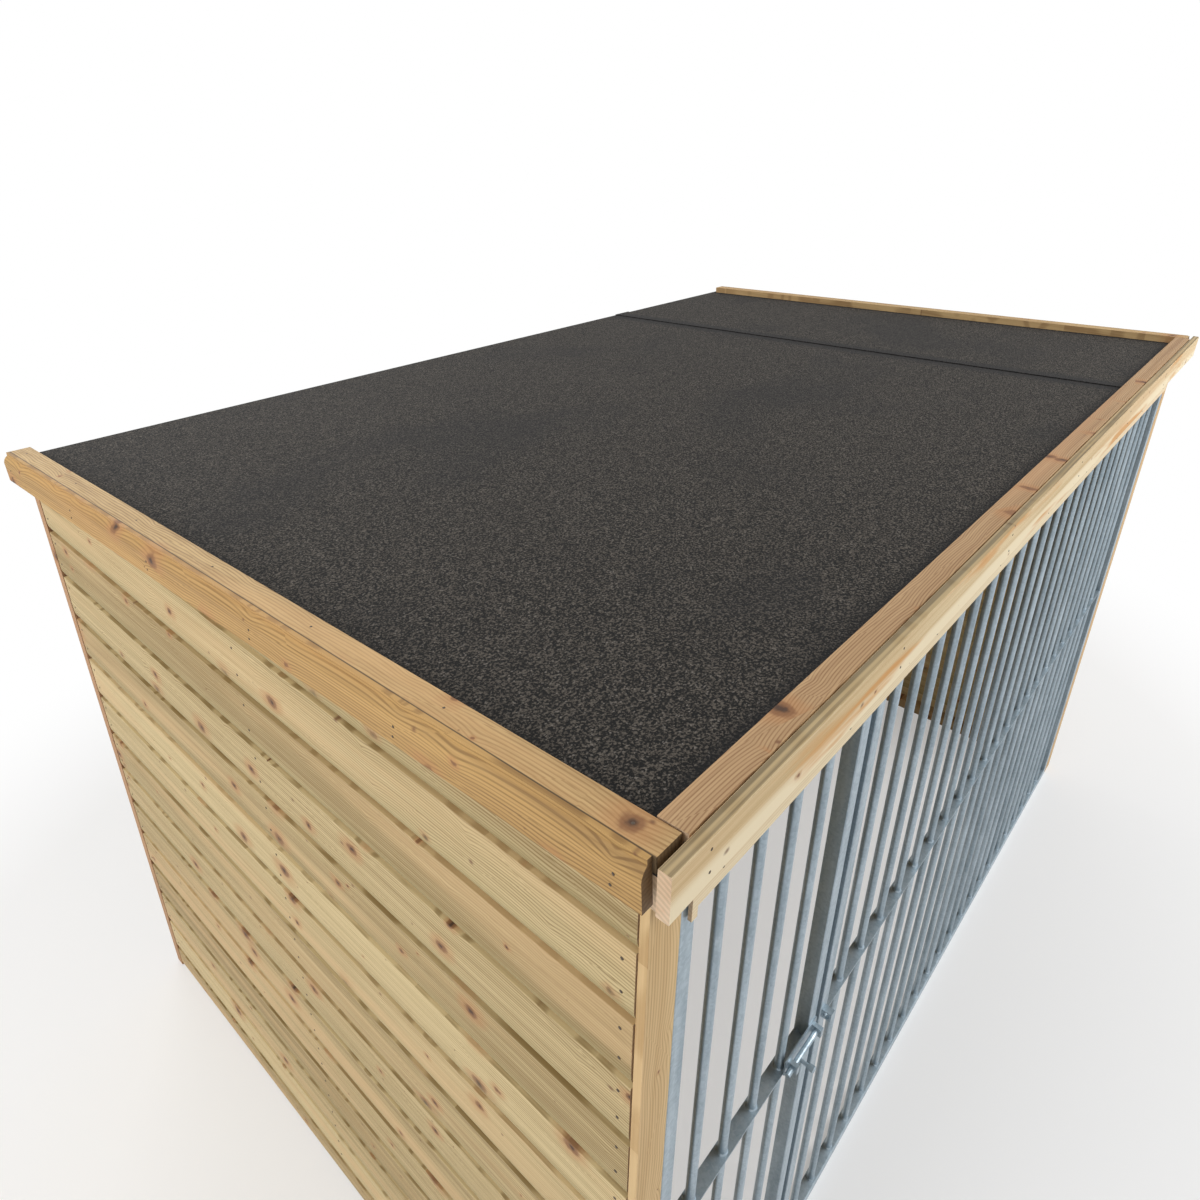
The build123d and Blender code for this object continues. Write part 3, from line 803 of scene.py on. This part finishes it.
# Nails through the wall boards into the studs behind them, two to a board
NAIL = 0.0028
HEAD_SINK = 0.0003
IN_X = (0.3, 1.0, 1.0)  # how heads are flattened, by the way that they face
IN_Y = (1.0, 0.3, 1.0)
IN_Z = (1.0, 1.0, 0.3)
NAILED_BOARDS = 13
NAIL_PAIR = (0.045, 0.105)
NAIL_EDGE = 0.022
MIDDLE_STUD = 0.975
levels = [BOARD_LINE + BOARD_COVER * board + part for board in range(NAILED_BOARDS) for part in NAIL_PAIR]
for side, sign in (("left", -1), ("right", 1)):
    low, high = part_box(f"{side}_wall_boards")
    face = sign * (max(abs(low[0]), abs(high[0])) + HEAD_SINK * 0.5)
    columns = (low[1] + NAIL_EDGE, FRONT_Y + MIDDLE_STUD, high[1] - NAIL_EDGE)
    places = [(face, y, z) for y in columns for z in levels]
    fasteners(f"{side}_wall_nails", places, IN_X, NAIL, "cladding")
low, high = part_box("rear_wall_boards")
places = [(x, high[1], z) for x in spread(-1.41, 1.41, 5) for z in levels]
fasteners("rear_wall_nails", places, IN_Y, NAIL, "cladding")

# Nails in the trim round the roof
for side, sign in (("left", -1), ("right", 1)):
    low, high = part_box(f"{side}_fascia")
    face = sign * max(abs(low[0]), abs(high[0]))
    places = []
    for y in spread(low[1] + 0.04, high[1] - 0.04, 6):
        top = high[2] - ROOF_FALL * (y - low[1])
        places += [(face, y, top - 0.036), (face, y + 0.004, top - 0.055)]
    fasteners(f"{side}_fascia_nails", places, IN_X, NAIL * 0.8, "trim_timber")
    low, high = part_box(f"{side}_batten")
    middle = (low[0] + high[0]) / 2
    rows = spread(low[1] + 0.05, high[1] - 0.05, 7)
    places = [(middle, y, high[2] - ROOF_FALL * (y - low[1])) for y in rows]
    fasteners(f"{side}_batten_nails", places, IN_Z, NAIL * 0.8, "trim_timber")
low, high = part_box("front_fascia")
places = [(x, low[1], high[2] - part) for x in spread(-1.46, 1.46, 7) for part in (0.018, 0.052)]
fasteners("front_fascia_nails", places, IN_Y, NAIL * 0.8, "trim_timber")
low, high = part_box("front_lath")
places = [(x, low[1], low[2] + part) for x in spread(-1.36, 1.36, 9) for part in (0.022, 0.03)]
fasteners("lath_screws", places, IN_Y, NAIL * 0.9, "trim_timber")


def floor():
    """Pale ground that fades into the white background away from the run."""
    mesh = bpy.data.meshes.new("ground")
    reach = 60.0
    corners = [(-reach, -reach, 0), (reach, -reach, 0), (reach, reach, 0), (-reach, reach, 0)]
    mesh.from_pydata(corners, [], [(0, 1, 2, 3)])
    ground = bpy.data.objects.new("ground", mesh)
    bpy.context.scene.collection.objects.link(ground)
    finish = Finish("pale_ground", **{"Base Color": rgb(0.92, 0.92, 0.92), "Roughness": 0.9})
    flat = finish.vector(finish.x * 0.8, finish.y, 0.0)
    distance = finish.length(flat)
    white = finish.node("ShaderNodeEmission", None, {"Color": rgb(1, 1, 1), "Strength": 1.0})
    path = finish.node("ShaderNodeLightPath")
    seen = Wire(finish, path.outputs["Is Camera Ray"]) + Wire(finish, path.outputs["Is Glossy Ray"])
    far = finish.math("MAXIMUM", finish.smooth(distance, 1.6, 3.1), 0.35) * finish.math("MINIMUM", seen, 1.0)
    blend = finish.node("ShaderNodeMixShader", None, {0: far})
    finish.tree.links.new(finish.shader.outputs[0], blend.inputs[1])
    finish.tree.links.new(white.outputs[0], blend.inputs[2])
    target = next(node for node in finish.tree.nodes if node.type == "OUTPUT_MATERIAL")
    finish.tree.links.new(blend.outputs[0], target.inputs[0])
    mesh.materials.append(finish.material)


def world():
    """White to the camera and in reflections, softer as light."""
    sky = bpy.data.worlds.new("studio")
    bpy.context.scene.world = sky
    sky.use_nodes = True
    graph = Graph(sky.node_tree)
    sky.node_tree.nodes.clear()
    path = graph.node("ShaderNodeLightPath")
    rays = [Wire(graph, path.outputs[f"Is {kind} Ray"]) for kind in ("Camera", "Glossy")]
    seen = graph.math("MAXIMUM", *rays)
    soft = graph.out("ShaderNodeBackground", None, {"Color": rgb(1, 1, 1), "Strength": 0.42})
    white = graph.out("ShaderNodeBackground", None, {"Color": rgb(1, 1, 1), "Strength": 1.0})
    blend = graph.out("ShaderNodeMixShader", None, {0: seen, 1: soft, 2: white})
    graph.node("ShaderNodeOutputWorld", None, {0: blend})


def lamp(name, place, target, size, power):
    """A round soft lamp that points at the target."""
    light = bpy.data.lights.new(name, "AREA")
    light.shape = "DISK"
    light.size = size
    light.energy = power
    holder = bpy.data.objects.new(name, light)
    bpy.context.scene.collection.objects.link(holder)
    holder.location = place
    holder.rotation_euler = (Vector(target) - Vector(place)).to_track_quat("-Z", "Y").to_euler()


# Camera: where it stood for the photo, worked out from the run's straight edges
CAMERA_PLACE = Vector((-2.015, -1.358, 2.665))
CAMERA_TURN = Vector((1.879, -0.860, 0.578))
PHOTO_SIDE = 1200
FOCAL_PIXELS = 838.3
CENTRE_PIXEL = (636.2, 506.1)


def camera():
    data = bpy.data.cameras.new("camera")
    data.sensor_width = 36.0
    data.lens = FOCAL_PIXELS / PHOTO_SIDE * data.sensor_width
    data.shift_x = (PHOTO_SIDE / 2 - CENTRE_PIXEL[0]) / PHOTO_SIDE
    data.shift_y = (CENTRE_PIXEL[1] - PHOTO_SIDE / 2) / PHOTO_SIDE
    data.clip_end = 300.0
    eye = bpy.data.objects.new("camera", data)
    bpy.context.scene.collection.objects.link(eye)
    turn = Quaternion(CAMERA_TURN.normalized(), CAMERA_TURN.length).to_matrix()
    axes = Matrix((turn[0], -turn[1], -turn[2])).transposed()
    eye.matrix_world = Matrix.Translation(CAMERA_PLACE) @ axes.to_4x4()
    bpy.context.scene.camera = eye


floor()
world()
lamp("key", (3.5, -5.0, 5.5), (0.0, 0.0, 1.0), 4.0, 290.0)
lamp("side", (-5.4, 1.0, 4.0), (-0.8, 0.4, 1.2), 3.5, 160.0)
lamp("rear", (0.5, 6.0, 4.5), (0.0, 0.5, 1.2), 4.0, 100.0)
camera()
bpy.context.scene.view_settings.view_transform = "Standard"
